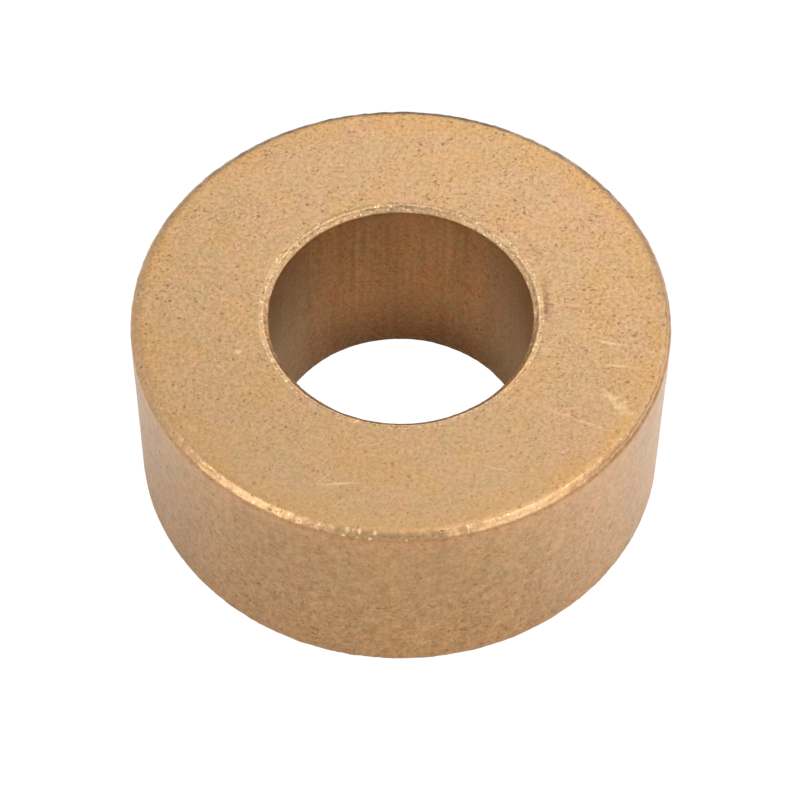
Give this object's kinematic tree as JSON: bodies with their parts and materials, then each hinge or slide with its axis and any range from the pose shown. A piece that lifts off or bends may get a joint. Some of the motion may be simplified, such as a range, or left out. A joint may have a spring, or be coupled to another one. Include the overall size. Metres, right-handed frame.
{
  "type": "sleeve bushing",
  "caption": "Short thick-walled sintered bronze sleeve bushing: a plain ring with a through bore and lightly chamfered edges.",
  "frame": {"origin": "centre of the lower end face, on the axis of the bore", "axes": "+Z along the axis of the bore, from the lower end face to the upper one; X and Y are any two radial directions"},
  "size_m": [0.0286, 0.0286, 0.012],
  "materials": {
    "sintered_bronze": "matte"
  },
  "bodies": {
    "root": {"sleeve": "sintered_bronze"}
  },
  "joints": []
}
